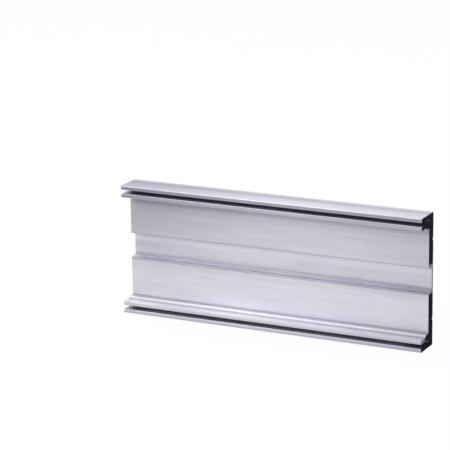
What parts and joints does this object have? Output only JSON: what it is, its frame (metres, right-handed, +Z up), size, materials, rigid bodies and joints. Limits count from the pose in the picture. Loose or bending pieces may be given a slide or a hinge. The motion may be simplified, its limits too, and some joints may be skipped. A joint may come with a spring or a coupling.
{
  "type": "din rail",
  "caption": "Short length of extruded aluminium mounting rail with double-lipped flanges along both edges and a shallow recess down the middle.",
  "frame": {"origin": "centre of the rail's footprint, level with the outer face of the lower flange", "axes": "+X along the rail, +Z up across its height, -Y out of the open front; the back that lies on a panel faces +Y"},
  "size_m": [0.085, 0.0078, 0.035],
  "materials": {
    "aluminium": "mill finish, fine streaks along the length"
  },
  "bodies": {
    "root": {"rail": "aluminium"}
  },
  "joints": []
}
